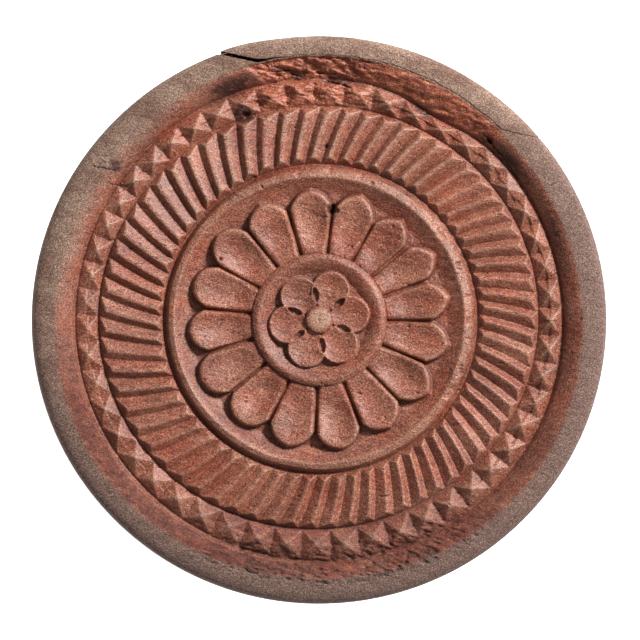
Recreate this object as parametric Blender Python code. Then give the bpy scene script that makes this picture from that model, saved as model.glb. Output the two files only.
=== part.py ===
"""A hand-carved wooden butter print, also called a butter stamp.

It is a face-grain disc with a raised flower, two carved borders and a plain rim. A turned handle is
tenoned into the back of the disc, and a whittled peg through both locks it. A strip of the rim has
split off along the grain and still sits in its place.

The print stands on the flat end of its knob with the carved face up. The origin is the middle of
that flat end, X runs along the grain of the disc, and Z is the axis that the disc was turned about.
"""

import math

import bmesh
import bpy
from mathutils import Matrix, Vector

MM = 0.001

# Driving dimensions. Lengths in the script are in millimetres until place() turns them into metres.
HEIGHT = 95.0  # from the flat end of the knob to the crest of the rim
RADIUS = 60.0  # of the disc, along the grain
ACROSS_GRAIN = 0.988  # the disc has shrunk to this share of its width across the grain
RIM_CREST = 55.2
RIM_GROOVE = 50.8  # the groove at the foot of the rim's inner slope
PYRAMID_BASES = (45.5, 50.2)
FLUTE_ENDS = (33.3, 43.9)
RIDGE_CREST = 30.3
PETAL_TIP = 27.3
HUB_RADIUS = 13.9

PETAL_DIRECTIONS = (10, 30, 50.5, 71.5, 94, 117, 140, 163, 185, 208, 232, 256, 280, 303, 326, 349)
LOBES = 6
FIRST_NOTCH = math.radians(39)
FLUTES = 67
PYRAMIDS = 51
FLUTE_LEAN = math.radians(4.5)  # how far a flute's inner end is turned against its outer end
# A flute's section: the share of the pitch, and the share of the height above the trough.
FLUTE_SECTION = ((0.0, 0.0), (0.28, 0.62), (0.63, 1.0))

BOSS_RADIUS = 17.8
BOSS_END = 34.2  # depths are measured down from the crest of the rim
TENON_RADIUS = 9.0
SOCKET_FLOOR = 11.8
FIT_GAP = 0.3
KNOB_RADIUS = 22.0
FOOT_RADIUS = 17.5

PEG_DEPTH = 29.0
PEG_RADII = (3.25, 2.8)  # at its thick end, which points to +X, and at its thin end
PEG_ENDS = (22.5, -20.0)
PEG_HOLE_RADIUS = 3.6

SLIVER_START = 44.0  # the strip's ends and where it reaches its full width, degrees around the face
SLIVER_FULL = (47.0, 96.0)
SLIVER_END = 109.0

RIM_STATIONS = 96
BACK_STATIONS = 60
HANDLE_STATIONS = 48
SHARP = math.radians(28)


def blend(low, high, share):
    return low + (high - low) * share


def smooth_step(share):
    share = min(max(share, 0.0), 1.0)
    return share * share * (3 - 2 * share)


def even_angles(count, first=0.0):
    return [first + math.tau * i / count for i in range(count)]


def place(angle, radius, depth):
    """A point in metres, from millimetres about the turning axis and down from the rim's crest."""
    across = radius * math.sin(angle) * ACROSS_GRAIN
    return Vector((radius * math.cos(angle), across, HEIGHT - depth)) * MM


# The carved face. A ring is a list of (angle, radius, depth), anticlockwise from above.


def hub_rings():
    """The boss and the lobed flower inside the hub ring, then the hub ring itself."""
    notch_and_lobe = (
        (2.5, 2.5, 0.95, 0.95),
        (2.95, 2.95, 2.1, 2.1),
        (3.7, 3.7, 2.7, 1.4),
        (5.8, 5.8, 2.9, 1.55),
        (7.4, 8.7, 2.6, 1.15),
        (8.0, 9.8, 2.7, 1.35),
        (8.4, 10.2, 2.5, 2.4),
        (10.7, 10.7, 2.1, 2.1),
        (12.0, 12.0, 1.15, 1.15),
        (13.2, 13.2, 1.0, 1.0),
        (HUB_RADIUS, HUB_RADIUS, 1.5, 1.5),
    )
    rings = []
    for notch_radius, lobe_radius, notch_depth, lobe_depth in notch_and_lobe:
        ring = []
        for angle in even_angles(LOBES * 6, FIRST_NOTCH):
            share = abs(math.sin(LOBES / 2 * (angle - FIRST_NOTCH)))
            radius = blend(notch_radius, lobe_radius, share)
            ring.append((angle, radius, blend(notch_depth, lobe_depth, share)))
        rings.append(ring)
    return rings


def petal_angles():
    """(angle, share) pairs: from the gap before each petal, at share 0, across it to the next gap."""
    directions = [math.radians(d) for d in PETAL_DIRECTIONS]
    pairs = []
    for i, middle in enumerate(directions):
        before = directions[i - 1] - (math.tau if i == 0 else 0)
        after = directions[(i + 1) % len(directions)] + (math.tau if i == len(directions) - 1 else 0)
        gap = (before + middle) / 2
        next_gap = (middle + after) / 2
        for share in (0.0, 0.1, 0.27, 0.5, 0.73, 0.9):
            pairs.append((blend(gap, next_gap, share), share))
    return pairs


def petal_rings():
    """The petals, with narrow grooves between them and dished tops, and the ground round their tips."""
    valley = 23.4
    steps = (
        # radius, then the depths in the gap, at the petal's edges and along its middle
        (14.3, 3.0, 2.0, 2.0),
        (17.0, 3.5, 1.75, 2.5),
        (21.0, 3.7, 1.5, 2.3),
    )
    rings = []
    for radius, gap_depth, edge_depth, middle_depth in steps:
        ring = []
        for angle, share in petal_angles():
            dish = math.sin(math.pi * share)
            depth = gap_depth if share == 0 else blend(edge_depth, middle_depth, dish)
            ring.append((angle, radius, depth))
        rings.append(ring)
    for outward, top_depth in ((-0.35, 1.35), (0.15, 3.95)):
        ring = []
        for angle, share in petal_angles():
            tip = blend(valley, PETAL_TIP, math.sin(math.pi * share) ** 0.77)
            ring.append((angle, tip + outward, top_depth if share else 4.0))
        rings.append(ring)
    return rings


def ridge_rings():
    """The flat ground round the petals, the cove up to the ring ridge, and the groove outside it."""
    profile = (
        (28.4, 4.1),
        (29.2, 3.2),
        (RIDGE_CREST - 0.4, 1.5),
        (RIDGE_CREST + 0.4, 1.5),
        (32.4, 3.5),
    )
    return [[(angle, radius, depth) for angle, _ in petal_angles()] for radius, depth in profile]


def flute_drift(angle):
    """How far the hand-cut flutes have crept round from an even spacing, in degrees."""
    drift = -0.4 + 3.64 * math.cos(angle + math.radians(92))
    drift += 0.71 * math.cos(2 * (angle + math.radians(49)))
    return drift + 0.6 * math.cos(3 * (angle - math.radians(14)))


def pyramid_drift(angle):
    """How far the hand-cut pyramids have crept round from an even spacing, in degrees."""
    drift = 4.1 + 1.7 * math.cos(2 * (angle - math.radians(108)))
    return drift + math.cos(angle - math.radians(70))


def crept(angle, drift):
    """The direction whose even place is the given angle."""
    return angle + math.radians(drift(angle + math.radians(drift(angle))))


def flute_rings():
    """The slanting flutes: a wide rounded facet up to each crest and a steep one down again."""
    inner, outer = FLUTE_ENDS
    steps = (
        # radius, then the depths along the trough and along the crest
        (inner, 3.15, 3.15),
        (inner + 1.0, 3.15, 1.9),
        ((inner + outer) / 2, 3.15, 1.9),
        (outer - 0.4, 3.15, 1.9),
        (outer + 0.7, 3.15, 3.15),
    )
    rings = []
    for radius, trough_depth, crest_depth in steps:
        lean = FLUTE_LEAN * ((inner + outer) / 2 - radius) / (outer - inner)
        ring = []
        for trough in even_angles(FLUTES):
            for share, height in FLUTE_SECTION:
                angle = crept(trough + math.tau / FLUTES * share, flute_drift)
                ring.append((angle + lean, radius, blend(trough_depth, crest_depth, height)))
        rings.append(ring)
    return rings


def pyramid_rings():
    """The border of four-sided pyramids, base to base."""
    inner, outer = PYRAMID_BASES
    steps = ((inner, 3.25, 3.25), ((inner + outer) / 2, 3.2, 1.6), (outer, 3.05, 3.05))
    rings = []
    for radius, base_depth, apex_depth in steps:
        ring = []
        for corner in even_angles(PYRAMIDS):
            ring.append((crept(corner, pyramid_drift), radius, base_depth))
            apex = crept(corner + math.pi / PYRAMIDS, pyramid_drift)
            ring.append((apex, radius, apex_depth))
        rings.append(ring)
    return rings


# The rim, its flank and the strip split off it.

RIM_PROFILE = ((RIM_GROOVE, 3.1), (53.0, 1.2), (54.7, 0.15))
FLANK_PROFILE = (
    # radius and depth on the whole rim, then where the strip has split away
    ((RIM_CREST, 0.0), (54.9, 0.5)),
    ((56.9, 0.2), (55.2, 2.0)),
    ((58.5, 0.6), (55.9, 4.2)),
    ((59.4, 1.4), (56.9, 6.6)),
    ((59.85, 3.4), (58.2, 9.2)),
    ((59.95, 10.8), (59.7, 11.4)),
)
EDGE_PROFILE = ((RADIUS, 12.4), (59.6, 14.0))
STRIP_INSET = 0.22  # how much less than the seat the strip fills, as a share of its thickness


def rim_wobble(angle):
    """The rim was cut by hand, so its crest runs in and out a little three times round."""
    return 0.5 * math.cos(3 * (angle - math.radians(88)))


def torn_depth(angle):
    """How far the rim's inner slope has torn away under the split strip."""
    turn = math.degrees(angle)
    if not SLIVER_START < turn < SLIVER_END:
        return 0.0
    share = math.sin(math.pi * (turn - SLIVER_START) / (SLIVER_END - SLIVER_START))
    return share * (0.7 + 0.25 * math.sin(7 * angle) + 0.2 * math.sin(31 * angle))


def strip_share(angle):
    """How far the strip's seat reaches into the rim: 0 on the whole rim, 1 where it is widest."""
    turn = math.degrees(angle)
    rising = (turn - SLIVER_START) / (SLIVER_FULL[0] - SLIVER_START)
    falling = (SLIVER_END - turn) / (SLIVER_END - SLIVER_FULL[1])
    return smooth_step(min(rising, falling))


def rim_angles():
    """Even stations, and closer ones where the strip's right end breaks off short."""
    close = [math.radians(SLIVER_START + step) for step in (0.0, 1.0, 2.0, 3.0)]
    even = even_angles(RIM_STATIONS)
    return sorted([a for a in even if min(abs(a - c) for c in close) > math.radians(1)] + close)


def rim_rings():
    rings = []
    for radius, depth in RIM_PROFILE:
        ring = []
        for angle in rim_angles():
            torn = torn_depth(angle) * (0.4 if radius == RIM_GROOVE else 1.0)
            ring.append((angle, radius + rim_wobble(angle), depth + torn))
        rings.append(ring)
    return rings


def flank_point(angle, whole, split, share):
    """A point of the rim's flank. The hand-cut wobble of its crest dies away down the flank."""
    radius = blend(whole[0], split[0], share)
    depth = blend(whole[1], split[1], share)
    wobble = rim_wobble(angle) * (RADIUS - radius) / (RADIUS - RIM_CREST)
    return angle, radius + wobble, depth


def flank_rings():
    rings = []
    for whole, split in FLANK_PROFILE:
        ring = [flank_point(angle, whole, split, strip_share(angle)) for angle in rim_angles()]
        rings.append(ring)
    for radius, depth in EDGE_PROFILE:
        rings.append([(angle, radius, depth) for angle in rim_angles()])
    return rings


def back_rings():
    """The turned back: a bead at the edge, an ogee in to the boss, and the socket for the tenon."""
    socket = TENON_RADIUS + FIT_GAP
    profile = (
        (58.6, 14.9),
        (57.4, 15.0),
        (56.8, 15.8),
        (53.0, 18.4),
        (46.0, 20.8),
        (36.0, 22.4),
        (26.0, 23.3),
        (21.0, 24.4),
        (18.6, 26.4),
        (BOSS_RADIUS, 29.0),
        (BOSS_RADIUS - 0.3, BOSS_END - 0.8),
        (BOSS_RADIUS - 1.1, BOSS_END),
        (socket + 0.5, BOSS_END),
        (socket, BOSS_END - 0.6),
        (socket, SOCKET_FLOOR + 0.6),
    )
    return [[(a, radius, depth) for a in even_angles(BACK_STATIONS)] for radius, depth in profile]


# Mesh building.


def new_object(name, mesh, colour, roughness):
    data = bpy.data.meshes.new(name)
    bmesh.ops.recalc_face_normals(mesh, faces=mesh.faces)
    mesh.to_mesh(data)
    mesh.free()
    obj = bpy.data.objects.new(name, data)
    bpy.context.scene.collection.objects.link(obj)
    material = bpy.data.materials.new(name)
    material.use_nodes = True
    shader = material.node_tree.nodes["Principled BSDF"]
    shader.inputs["Base Color"].default_value = (*colour, 1.0)
    shader.inputs["Roughness"].default_value = roughness
    shader.inputs["Metallic"].default_value = 0.0
    data.materials.append(material)
    return obj


def shade_round(obj):
    obj.data.shade_smooth()
    obj.data.set_sharp_from_angle(angle=SHARP)


def bridge_even(mesh, inner, outer):
    """Quads between two rings with the same number of points."""
    count = len(inner)
    for i in range(count):
        j = (i + 1) % count
        mesh.faces.new((inner[i], inner[j], outer[j], outer[i]))


def bridge_uneven(mesh, inner, inner_angles, outer, outer_angles):
    """Triangles between two rings with different numbers of points, paired by angle."""
    first = min(range(len(outer)), key=lambda k: abs(turn_between(inner_angles[0], outer_angles[k])))
    outer = outer[first:] + outer[:first]
    outer_angles = outer_angles[first:] + outer_angles[:first]
    start = inner_angles[0]
    inner_turns = [(a - start) % math.tau for a in inner_angles] + [math.tau]
    shift = turn_between(start, outer_angles[0])
    outer_turns = [shift + (a - outer_angles[0]) % math.tau for a in outer_angles]
    outer_turns.append(shift + math.tau)
    i = j = 0
    while i < len(inner) or j < len(outer):
        a, b = inner[i % len(inner)], outer[j % len(outer)]
        step_inner = j == len(outer) or (i < len(inner) and inner_turns[i + 1] <= outer_turns[j + 1])
        if step_inner:
            i += 1
            mesh.faces.new((a, inner[i % len(inner)], b))
        else:
            j += 1
            mesh.faces.new((a, outer[j % len(outer)], b))


def turn_between(start, end):
    """The signed turn from one angle to another, from minus to plus half a turn."""
    return (end - start + math.pi) % math.tau - math.pi


def skin_over(rings, first_depth, last_depth):
    """A closed skin through all rings, from a middle point to another on the same axis."""
    mesh = bmesh.new()
    layers = []
    for ring in rings:
        points = [mesh.verts.new(place(*point)) for point in ring]
        layers.append((points, [point[0] for point in ring]))
    for (inner, inner_angles), (outer, outer_angles) in zip(layers, layers[1:], strict=False):
        if len(inner) == len(outer):
            bridge_even(mesh, inner, outer)
        else:
            bridge_uneven(mesh, inner, inner_angles, outer, outer_angles)
    for (points, _), depth in ((layers[0], first_depth), (layers[-1], last_depth)):
        middle = mesh.verts.new(place(0.0, 0.0, depth))
        for i, point in enumerate(points):
            mesh.faces.new((points[i - 1], point, middle))
    return mesh


def peg_hole_cutter():
    """The round hole through the boss and the tenon, along X."""
    mesh = bmesh.new()
    bmesh.ops.create_cone(
        mesh,
        cap_ends=True,
        segments=24,
        radius1=PEG_HOLE_RADIUS * MM,
        radius2=PEG_HOLE_RADIUS * MM,
        depth=4 * BOSS_RADIUS * MM,
    )
    bmesh.ops.rotate(mesh, verts=mesh.verts, matrix=Matrix.Rotation(math.pi / 2, 3, "Y"))
    bmesh.ops.translate(mesh, verts=mesh.verts, vec=place(0.0, 0.0, PEG_DEPTH))
    cutter = new_object("peg_hole_cutter", mesh, (0.5, 0.5, 0.5), 0.5)
    cutter.hide_render = True
    cutter.display_type = "WIRE"
    return cutter


def cut(obj, cutter):
    modifier = obj.modifiers.new("peg_hole", "BOOLEAN")
    modifier.object = cutter
    modifier.operation = "DIFFERENCE"
    modifier.solver = "EXACT"


# The pieces.


def make_carved_block(cutter):
    rings = hub_rings() + petal_rings() + ridge_rings() + flute_rings() + pyramid_rings()
    rings += rim_rings() + flank_rings() + back_rings()
    mesh = skin_over(rings, 0.8, SOCKET_FLOOR)
    block = new_object("carved_block", mesh, (0.36, 0.16, 0.10), 0.75)
    shade_round(block)
    cut(block, cutter)
    return block


def make_rim_sliver():
    """The split strip: its outside is the whole rim's flank, its inside sits just off the seat."""
    mesh = bmesh.new()
    sections = []
    for angle in rim_angles():
        share = strip_share(angle) - STRIP_INSET
        if share < STRIP_INSET:
            continue
        outside = [flank_point(angle, whole, split, 0.0) for whole, split in FLANK_PROFILE]
        inside = [flank_point(angle, whole, split, share) for whole, split in FLANK_PROFILE[1:-1]]
        corners = outside + inside[::-1]
        sections.append([mesh.verts.new(place(*corner)) for corner in corners])
    for section, following in zip(sections, sections[1:], strict=False):
        bridge_even(mesh, section, following)
    mesh.faces.new(sections[0])
    mesh.faces.new(sections[-1])
    sliver = new_object("rim_sliver", mesh, (0.40, 0.30, 0.22), 0.85)
    shade_round(sliver)
    return sliver


def make_handle(cutter):
    """The turned handle, from its tenon's tip down to the flat end of the knob."""
    shoulder = BOSS_END + FIT_GAP
    height_profile = (
        # radius and height above the flat end of the knob
        (17.0, 60.1),
        (16.6, 58.4),
        (14.6, 57.4),
        (15.6, 56.2),
        (16.1, 54.6),
        (15.5, 53.0),
        (13.6, 51.6),
        (11.2, 46.0),
        (9.7, 39.0),
        (9.0, 32.0),
        (9.5, 26.5),
        (12.0, 22.0),
        (16.8, 18.2),
        (20.4, 14.0),
        (KNOB_RADIUS, 9.2),
        (21.6, 5.0),
        (20.0, 1.9),
        (FOOT_RADIUS + 0.8, 0.35),
        (FOOT_RADIUS, 0.0),
    )
    tip = SOCKET_FLOOR + FIT_GAP + 0.4
    tenon_profile = (
        (TENON_RADIUS - 1.2, tip),
        (TENON_RADIUS, tip + 1.4),
        (TENON_RADIUS, shoulder),
        (16.4, shoulder),
    )
    profile = tenon_profile + tuple((radius, HEIGHT - height) for radius, height in height_profile)
    rings = [[(a, radius, depth) for a in even_angles(HANDLE_STATIONS)] for radius, depth in profile]
    mesh = skin_over(rings, tip, HEIGHT)
    round_again = Matrix.Diagonal((1.0, 1.0 / ACROSS_GRAIN, 1.0))
    bmesh.ops.transform(mesh, matrix=round_again.to_4x4(), verts=mesh.verts)
    handle = new_object("handle", mesh, (0.24, 0.12, 0.07), 0.55)
    shade_round(handle)
    cut(handle, cutter)
    return handle


def make_locking_peg():
    """The whittled peg, eight-sided and tapered, with its corners taken off at both ends."""
    thick_end, thin_end = PEG_ENDS
    thick, thin = PEG_RADII
    chamfer = 0.8
    steps = (
        (thick_end, thick - chamfer),
        (thick_end - chamfer, thick),
        (thin_end + 2 * chamfer, thin),
        (thin_end, thin - chamfer),
    )
    mesh = bmesh.new()
    sections = []
    for along, radius in steps:
        section = []
        for angle in even_angles(8, math.pi / 8):
            across = Vector((0.0, math.cos(angle), math.sin(angle))) * radius
            section.append(mesh.verts.new((Vector((along, 0.0, 0.0)) + across) * MM))
        sections.append(section)
    for section, following in zip(sections, sections[1:], strict=False):
        bridge_even(mesh, section, following)
    mesh.faces.new(sections[0])
    mesh.faces.new(sections[-1])
    peg = new_object("locking_peg", mesh, (0.42, 0.27, 0.15), 0.6)
    peg.location = place(0.0, 0.0, PEG_DEPTH)
    return peg


def main():
    for obj in list(bpy.data.objects):
        bpy.data.objects.remove(obj, do_unlink=True)
    cutter = peg_hole_cutter()
    make_carved_block(cutter)
    make_rim_sliver()
    make_handle(cutter)
    make_locking_peg()


main()
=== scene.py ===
"""The looks of the hand-carved butter print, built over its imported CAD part.

The carved block, the split strip, the handle and the peg are each rebuilt with a fine surface over
the CAD pieces, which keep their places and sizes. Lengths in this script are in millimetres, and
depths on the carved face are measured down from the crest of the rim. Angles run anticlockwise from
the direction of the grain, as seen from above.
"""

import functools
import math

import bmesh
import bpy
import numpy as np
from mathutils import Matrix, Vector


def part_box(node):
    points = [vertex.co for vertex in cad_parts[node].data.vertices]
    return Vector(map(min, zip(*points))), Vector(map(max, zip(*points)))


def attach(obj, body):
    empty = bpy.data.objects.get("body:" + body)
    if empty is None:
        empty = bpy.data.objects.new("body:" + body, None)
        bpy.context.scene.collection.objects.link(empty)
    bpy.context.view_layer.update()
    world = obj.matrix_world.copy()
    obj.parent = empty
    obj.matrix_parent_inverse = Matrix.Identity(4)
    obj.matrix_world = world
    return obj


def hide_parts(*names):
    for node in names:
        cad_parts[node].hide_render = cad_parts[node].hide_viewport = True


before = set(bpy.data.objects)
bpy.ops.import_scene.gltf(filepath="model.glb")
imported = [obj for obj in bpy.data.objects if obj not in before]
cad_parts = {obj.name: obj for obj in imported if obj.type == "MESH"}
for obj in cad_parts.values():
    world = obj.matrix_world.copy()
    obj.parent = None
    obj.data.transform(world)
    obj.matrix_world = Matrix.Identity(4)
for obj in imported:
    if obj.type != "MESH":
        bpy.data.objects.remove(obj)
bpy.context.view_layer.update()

MM = 0.001
BLOCK_LOW, BLOCK_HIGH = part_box("carved_block")
HANDLE_LOW, HANDLE_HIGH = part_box("handle")
PEG_LOW, PEG_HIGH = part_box("locking_peg")

# Sizes from the frame.
HEIGHT = BLOCK_HIGH.z / MM
RADIUS = (BLOCK_HIGH.x - BLOCK_LOW.x) / 2 / MM
ACROSS_GRAIN = (BLOCK_HIGH.y - BLOCK_LOW.y) / (BLOCK_HIGH.x - BLOCK_LOW.x)
BOSS_END = HEIGHT - BLOCK_LOW.z / MM
KNOB_RADIUS = (HANDLE_HIGH.x - HANDLE_LOW.x) / 2 / MM
TENON_TIP = HEIGHT - HANDLE_HIGH.z / MM
PEG_DEPTH = HEIGHT - (PEG_LOW.z + PEG_HIGH.z) / 2 / MM
PEG_THICKNESS = (PEG_HIGH.z - PEG_LOW.z) / MM
PEG_SPAN = (PEG_LOW.x / MM, PEG_HIGH.x / MM)

# Rings of the carved face, as shares of the radius.
RIM_CREST = 0.920 * RADIUS
RIM_GROOVE = 0.847 * RADIUS
PYRAMID_GROOVE = 0.752 * RADIUS
FLUTE_GROOVE = 0.540 * RADIUS
RIDGE_CREST = 0.504 * RADIUS
PETAL_TIP = 0.458 * RADIUS
PETAL_VALLEY = 0.386 * RADIUS
HUB_RADIUS = 0.232 * RADIUS
LOBE_CENTRE = 0.109 * RADIUS
LOBE_RADIUS = 0.0665 * RADIUS
BOSS_TOP_RADIUS = 0.046 * RADIUS

PETAL_DIRECTIONS = (10, 30, 50.5, 71.5, 94, 117, 140, 163, 185, 208, 232, 256, 280, 303, 326, 349)
NOTCH_DIRECTIONS = (40, 98, 160, 217, 277, 340)
FLUTES = 67
FLUTE_LEAN = math.radians(4.5)
FLUTE_CREST_SHARE = 0.63
PYRAMIDS = 51

BOSS_RADIUS = 0.297 * RADIUS
SOCKET_RADIUS = 0.155 * RADIUS
SOCKET_FLOOR = TENON_TIP - 0.7
PEG_HOLE_RADIUS = 0.06 * RADIUS

GRAIN_TURN = math.radians(-14)  # the fibres run a little off the direction of X
# The strip's two end cracks follow the grain. Each passes through a place given as (degrees, radius).
STRIP_RIGHT = (43.0, 57.6)
STRIP_LEFT = (104.5, 56.0)
STRIP_GAP = 0.28
STRIP_FOOT = (0.995 * RADIUS, 11.4)  # radius and depth where the split comes out of the flank

# The handle's outline from its collar to its foot: radius and height, for a knob of radius 22 on a
# print 95 high.
HANDLE_PROFILE = (
    (17.0, 60.1),
    (16.6, 58.4),
    (14.6, 57.4),
    (15.6, 56.2),
    (16.1, 54.6),
    (15.5, 53.0),
    (13.6, 51.6),
    (11.2, 46.0),
    (9.7, 39.0),
    (9.0, 32.0),
    (9.5, 26.5),
    (12.0, 22.0),
    (16.8, 18.2),
    (20.4, 14.0),
    (21.95, 9.2),
    (21.6, 5.0),
    (20.0, 1.9),
    (18.3, 0.35),
    (17.5, 0.0),
)

# Dark stains: direction, radius, half length outwards, half width in degrees, strength.
STAINS = (
    (110.7, 52.2, 1.5, 4.2, 1.0),
    (110.0, 46.2, 1.7, 2.2, 1.0),
    (142.5, 53.6, 1.4, 1.2, 0.8),
    (64.0, 50.0, 1.0, 2.0, 0.6),
    (47.5, 51.8, 0.7, 1.6, 0.9),
    (40.0, 52.0, 1.2, 5.0, 0.5),
    (20.0, 52.4, 1.6, 4.0, 0.35),
    (85.0, 50.4, 0.8, 3.5, 0.7),
    (95.0, 51.8, 0.8, 1.6, 0.8),
)
# Newly bared wood beside the two end cracks: direction, radius, half length outwards, half width.
FRESH_WOOD = (
    (43.8, 55.7, 0.6, 1.3),
    (102.0, 54.7, 0.9, 2.6),
)
# Cracks: from and to, each as degrees and radius, then half the width and the depth.
CRACKS = (
    ((145.5, 57.3), (143.4, 52.6), 0.13, 0.5),
    ((142.6, 57.4), (142.0, 55.6), 0.11, 0.4),
    ((144.6, 56.4), (142.9, 55.4), 0.10, 0.4),
    ((146.7, 52.2), (144.7, 48.6), 0.13, 0.5),
    ((48.6, 51.9), (42.0, 51.5), 0.20, 0.8),
    ((42.6, 51.5), (35.2, 51.2), 0.14, 0.6),
    ((88.5, 50.4), (82.0, 49.3), 0.22, 0.8),
    ((96.6, 52.4), (93.5, 51.2), 0.25, 0.8),
    ((91.0, 52.3), (85.5, 51.8), 0.16, 0.6),
    ((101.0, 53.4), (95.5, 52.8), 0.14, 0.6),
)
# Pits: direction, radius, size and depth. Each pit is also painted dark, as painted shade in the hole.
PITS = (
    (83.5, 23.4, 1.5, 1.6),
    (148.0, 24.2, 0.5, 0.5),
    (87.7, 36.6, 0.55, 0.5),
    (46.6, 51.8, 0.9, 0.9),
    (109.5, 46.0, 0.9, 0.9),
)

FINE_STEP = 0.2  # between rows of points on the carved face
COLUMNS = 1536  # round the outer rings, halved towards the middle


# Curves, steps and noise.


def mix(low, high, share):
    return low + (high - low) * share


def step_up(low, high, value):
    """0 below low, 1 above high, and smooth between them."""
    share = np.clip((value - low) / (high - low), 0.0, 1.0)
    return share * share * (3 - 2 * share)


def bump(value, middle, width):
    return np.exp(-(((value - middle) / width) ** 2))


def turn_from(angle, degrees):
    """The signed turn in degrees from a direction to each angle."""
    return (np.degrees(angle) - degrees + 180.0) % 360.0 - 180.0


def arc_share(angle, start, end, soft):
    """1 within an arc given in degrees, falling to 0 over a soft edge beyond its ends."""
    middle, half = (start + end) / 2, (end - start) / 2
    return 1 - step_up(half - soft / 2, half + soft / 2, np.abs(turn_from(angle, middle)))


@functools.cache
def noise_table(seed):
    return np.random.RandomState(seed).uniform(-1, 1, (256, 256))


def lattice_noise(x, y, cell_x, cell_y, seed):
    """Smooth noise from -1 to 1 with cells of the given size."""
    values = noise_table(seed)
    u, v = x / cell_x + 1000.0, y / cell_y + 1000.0
    i, j = np.floor(u).astype(int), np.floor(v).astype(int)
    s, t = u - i, v - j
    s, t = s * s * (3 - 2 * s), t * t * (3 - 2 * t)
    i0, i1, j0, j1 = i % 256, (i + 1) % 256, j % 256, (j + 1) % 256
    low = mix(values[i0, j0], values[i1, j0], s)
    high = mix(values[i0, j1], values[i1, j1], s)
    return mix(low, high, t)


def layered_noise(x, y, cell_x, cell_y, seed, layers=3):
    total = 0.0
    for layer in range(layers):
        scale = 0.5**layer
        total = total + scale * lattice_noise(x, y, cell_x * scale, cell_y * scale, seed + layer)
    return total / (2 - 0.5 ** (layers - 1))


def curve_through(points, per_span):
    """Points along a smooth curve through the given points."""
    given = np.array(points, float)
    padded = np.vstack([2 * given[0] - given[1], given, 2 * given[-1] - given[-2]])
    curve = []
    for i in range(len(given) - 1):
        a, b, c, d = padded[i : i + 4]
        for t in np.arange(per_span) / per_span:
            pull = (2 * a - 5 * b + 4 * c - d) * t * t + (3 * b - a - 3 * c + d) * t**3
            curve.append(b + 0.5 * ((c - a) * t + pull))
    curve.append(given[-1])
    return np.array(curve)


# Where the carver's rings and spacings run off true.


def ring_drift(angle, radius):
    """How far each ring runs outside its true circle."""
    flute_groove = 0.2 + 0.45 * np.cos(angle - math.radians(30))
    pyramid_groove = -0.1 + 0.65 * np.cos(2 * (angle - math.radians(10)))
    pyramid_groove = pyramid_groove + 0.55 * np.cos(angle - math.radians(105))
    rim_groove = 0.1 - 1.7 * bump(turn_from(angle, 60), 0, 10)
    crest = 0.5 * np.cos(3 * (angle - math.radians(88)))
    stations = (HUB_RADIUS, RIDGE_CREST, FLUTE_GROOVE, PYRAMID_GROOVE, RIM_GROOVE, RIM_CREST, RADIUS)
    drifts = (0 * angle, 0 * angle, flute_groove, pyramid_groove, rim_groove, crest, 0 * angle)
    drift = 0 * angle
    for i in range(len(stations) - 1):
        share = np.clip((radius - stations[i]) / (stations[i + 1] - stations[i]), 0, 1)
        inside = (radius >= stations[i]) & (radius <= stations[i + 1])
        drift = np.where(inside, mix(drifts[i], drifts[i + 1], share), drift)
    return drift


def flute_drift(angle):
    """The turn of the flutes against an even spacing."""
    waves = -0.4 + 3.64 * np.cos(angle + math.radians(92))
    waves = waves + 0.71 * np.cos(2 * (angle + math.radians(49)))
    waves = waves + 0.60 * np.cos(3 * (angle - math.radians(14)))
    waves = waves + 0.26 * np.cos(4 * (angle + math.radians(38)))
    return np.radians(waves)


def pyramid_drift(angle):
    """The turn of the pyramids against an even spacing."""
    waves = 4.1 + 1.7 * np.cos(2 * (angle - math.radians(108)))
    return np.radians(waves + np.cos(angle - math.radians(70)))


# The depth of each zone of the carved face, from the middle outwards.


def hub_depth(angle, radius):
    """The boss, six dished lobes with lens-shaped pits between them, and the hub ring."""
    x, y = radius * np.cos(angle), radius * np.sin(angle)
    ground = 2.75
    boss = 0.6 + 0.45 * (radius / BOSS_TOP_RADIUS) ** 4
    boss = boss + 1.6 * step_up(BOSS_TOP_RADIUS - 0.1, BOSS_TOP_RADIUS + 0.45, radius)
    depth = np.minimum(boss, ground)
    count = len(NOTCH_DIRECTIONS)
    for i in range(count):
        notch = math.radians(NOTCH_DIRECTIONS[i])
        following = math.radians(NOTCH_DIRECTIONS[(i + 1) % count] + (360 if i == count - 1 else 0))
        middle = (notch + following) / 2
        centre_x, centre_y = LOBE_CENTRE * math.cos(middle), LOBE_CENTRE * math.sin(middle)
        away = np.hypot(x - centre_x, y - centre_y) / LOBE_RADIUS
        dish = 0.85 * (1 - away**2) + 0.5 * step_up(LOBE_CENTRE, BOSS_TOP_RADIUS, radius)
        wall = 1.6 * step_up(0.95, 1.09, away)
        depth = np.minimum(depth, 1.1 + dish * (away < 1) + wall)
    for direction in NOTCH_DIRECTIONS:
        notch = math.radians(direction)
        along = (radius * np.cos(angle - notch) - 0.090 * RADIUS) / (0.026 * RADIUS)
        aside = radius * np.sin(angle - notch) / (0.0115 * RADIUS)
        lens = np.clip(1 - along**2 - aside**2, 0, 1)
        depth = depth + 1.9 * lens**0.6
    up_ring = np.clip((radius / RADIUS - 0.166) / (0.212 - 0.166), 0, 1)
    ring = 1.0 + 1.6 * (1 - up_ring) ** 1.5
    depth = np.minimum(depth, ring)
    outer_edge = 0.45 * step_up(0.214 * RADIUS, HUB_RADIUS, radius)
    groove = 1.1 * step_up(HUB_RADIUS - 0.1, HUB_RADIUS + 0.2, radius)
    return depth + outer_edge + groove


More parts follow.
